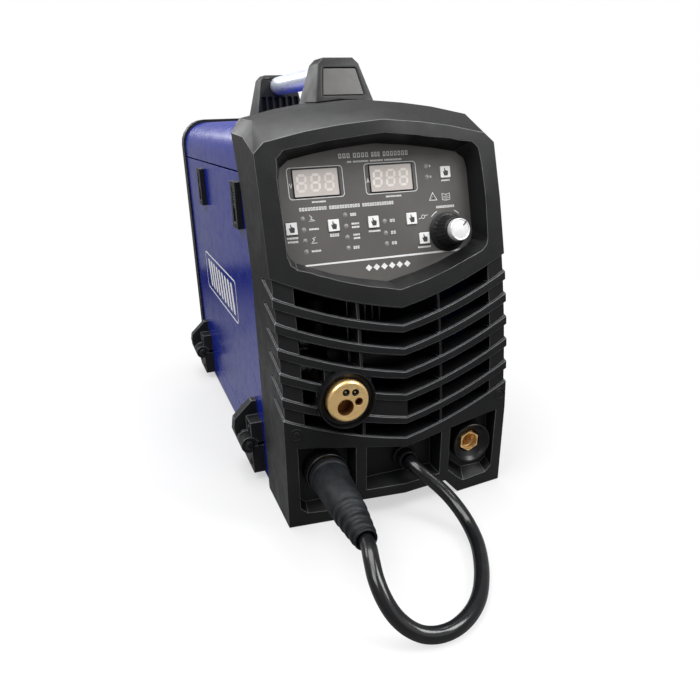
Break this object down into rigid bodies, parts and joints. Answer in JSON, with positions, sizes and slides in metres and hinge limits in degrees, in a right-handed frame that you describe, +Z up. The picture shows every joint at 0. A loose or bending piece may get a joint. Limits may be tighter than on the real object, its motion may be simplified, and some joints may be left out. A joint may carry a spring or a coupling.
{
  "type": "mig welding machine",
  "caption": "Compact inverter MIG welder: louvred front with panel, torch connector and two cable sockets, bottom-hinged wire door, bar handle and a looped polarity cable.",
  "frame": {"origin": "on the floor under the middle of the machine's footprint, the free cable not counted", "axes": "+X to the right as seen from the front, +Y from the front to the back, +Z up"},
  "size_m": [0.237, 0.6758, 0.3945],
  "materials": {
    "aluminium": "extruded",
    "anodised_tube": "satin anodised",
    "black_plastic": "satin fine grain",
    "black_steel": "satin",
    "blue_paint": "gloss orange peel",
    "board_green": "satin",
    "brass": "machined",
    "cable_jacket": "semi gloss",
    "display_lens": "gloss",
    "panel_film": "satin printed film",
    "rubber": "matte ribbed",
    "silver_cap": "bright",
    "spool_plastic": "satin",
    "white_button": "satin",
    "zinc_steel": "satin"
  },
  "bodies": {
    "housing": {"base_pan": "blue_paint", "cable_gland": "black_plastic", "control_board": "board_green", "control_panel": "panel_film", "cover_shell": "blue_paint", "display_amps": "display_lens", "display_volts": "display_lens", "divider_plate": "zinc_steel", "euro_body": "brass", "euro_flange": "black_plastic", "fan_frame": "black_plastic", "feeder_bracket": "black_plastic", "feeder_motor": "black_steel", "front_bezel": "black_plastic", "gas_nipple": "brass", "gas_valve": "black_steel", "handle_front_post": "black_plastic", "handle_rear_post": "black_plastic", "handle_tube": "anodised_tube", "heat_sink": "aluminium", "hinge_base_front": "black_plastic", "hinge_base_rear": "black_plastic", "hinge_pin_front": "zinc_steel", "hinge_pin_rear": "zinc_steel", "main_transformer": "black_steel", "mains_gland": "black_plastic", "plug_contact": "brass", "plug_sleeve": "rubber", "polarity_cable": "cable_jacket", "power_board": "board_green", "power_switch_case": "black_plastic", "rear_bezel": "black_plastic", "socket_contact_left": "brass", "socket_contact_right": "brass", "socket_shell_left": "black_plastic", "socket_shell_right": "black_plastic", "spool_hub": "spool_plastic", "spool_nut": "spool_plastic"},
    "door": {"side_door": "blue_paint", "hinge_leaf_front": "black_plastic", "hinge_leaf_rear": "black_plastic", "latch_case_front": "black_plastic", "latch_case_rear": "black_plastic"},
    "latch_front": {"latch_slider_front": "black_plastic"},
    "latch_rear": {"latch_slider_rear": "black_plastic"},
    "knob": {"knob_skirt": "black_plastic", "knob_cap": "silver_cap"},
    "rocker": {"power_rocker": "black_plastic"},
    "fan": {"fan_rotor": "black_plastic"},
    "spool": {"wire_spool": "spool_plastic"},
    "drive_roll": {"drive_roll": "zinc_steel"},
    "pressure_roll": {"pressure_roll": "zinc_steel"},
    "pressure_arm": {"pressure_arm": "black_plastic"},
    "tension_knob": {"tension_knob": "spool_plastic"},
    "button_1": {"button_1": "white_button"},
    "button_2": {"button_2": "white_button"},
    "button_3": {"button_3": "white_button"},
    "button_4": {"button_4": "white_button"},
    "button_5": {"button_5": "white_button"},
    "button_6": {"button_6": "white_button"}
  },
  "joints": [
    {"name": "door_hinge", "type": "hinge", "parent": "housing", "child": "door", "pos_m": [-0.1075, 0.02825, 0.0395], "axis": [0, -1, 0], "range_deg": [0, 90]},
    {"name": "latch_front_slide", "type": "slide", "parent": "door", "child": "latch_front", "axis": [0, 0, -1], "range_m": [0, 0.006], "stiffness_N_per_m": 250, "springref_m": -0.002},
    {"name": "latch_rear_slide", "type": "slide", "parent": "door", "child": "latch_rear", "axis": [0, 0, -1], "range_m": [0, 0.006], "stiffness_N_per_m": 250, "springref_m": -0.002},
    {"name": "knob_turn", "type": "hinge", "parent": "housing", "child": "knob", "pos_m": [0.0732, -0.21156, 0.2438], "axis": [0, -0.9754, 0.2204], "range_deg": [-140, 140]},
    {"name": "button_1_press", "type": "slide", "parent": "housing", "child": "button_1", "axis": [0, 0.9754, -0.2204], "range_m": [0, 0.0008], "stiffness_N_per_m": 400, "springref_m": -0.0005},
    {"name": "button_2_press", "type": "slide", "parent": "housing", "child": "button_2", "axis": [0, 0.9754, -0.2204], "range_m": [0, 0.0008], "stiffness_N_per_m": 400, "springref_m": -0.0005},
    {"name": "button_3_press", "type": "slide", "parent": "housing", "child": "button_3", "axis": [0, 0.9754, -0.2204], "range_m": [0, 0.0008], "stiffness_N_per_m": 400, "springref_m": -0.0005},
    {"name": "button_4_press", "type": "slide", "parent": "housing", "child": "button_4", "axis": [0, 0.9754, -0.2204], "range_m": [0, 0.0008], "stiffness_N_per_m": 400, "springref_m": -0.0005},
    {"name": "button_5_press", "type": "slide", "parent": "housing", "child": "button_5", "axis": [0, 0.9754, -0.2204], "range_m": [0, 0.0008], "stiffness_N_per_m": 400, "springref_m": -0.0005},
    {"name": "button_6_press", "type": "slide", "parent": "housing", "child": "button_6", "axis": [0, 0.9754, -0.2204], "range_m": [0, 0.0008], "stiffness_N_per_m": 400, "springref_m": -0.0005},
    {"name": "power_switch", "type": "hinge", "parent": "housing", "child": "rocker", "pos_m": [-0.0485, 0.23525, 0.285], "axis": [0, 0, 1], "range_deg": [0, 24]},
    {"name": "fan_spin", "type": "hinge", "parent": "housing", "child": "fan", "pos_m": [0.0535, 0.21725, 0.2], "axis": [0, 1, 0], "continuous": true},
    {"name": "spool_spin", "type": "hinge", "parent": "housing", "child": "spool", "pos_m": [-0.0485, 0.05325, 0.19], "axis": [1, 0, 0], "continuous": true},
    {"name": "drive_roll_spin", "type": "hinge", "parent": "housing", "child": "drive_roll", "pos_m": [-0.0405, -0.11675, 0.1037], "axis": [1, 0, 0], "continuous": true},
    {"name": "pressure_arm_lift", "type": "hinge", "parent": "housing", "child": "pressure_arm", "pos_m": [-0.0285, -0.08675, 0.141], "axis": [-1, 0, 0], "range_deg": [0, 55]},
    {"name": "pressure_roll_spin", "type": "hinge", "parent": "pressure_arm", "child": "pressure_roll", "pos_m": [-0.0405, -0.11675, 0.1319], "axis": [1, 0, 0], "continuous": true},
    {"name": "tension_turn", "type": "hinge", "parent": "pressure_arm", "child": "tension_knob", "pos_m": [-0.0295, -0.13475, 0.16], "axis": [0, 0, 1], "range_deg": [-360, 360]}
  ],
  "couplings": [
    {"joint": "pressure_roll_spin", "follows": "drive_roll_spin", "ratio": -1.25}
  ]
}
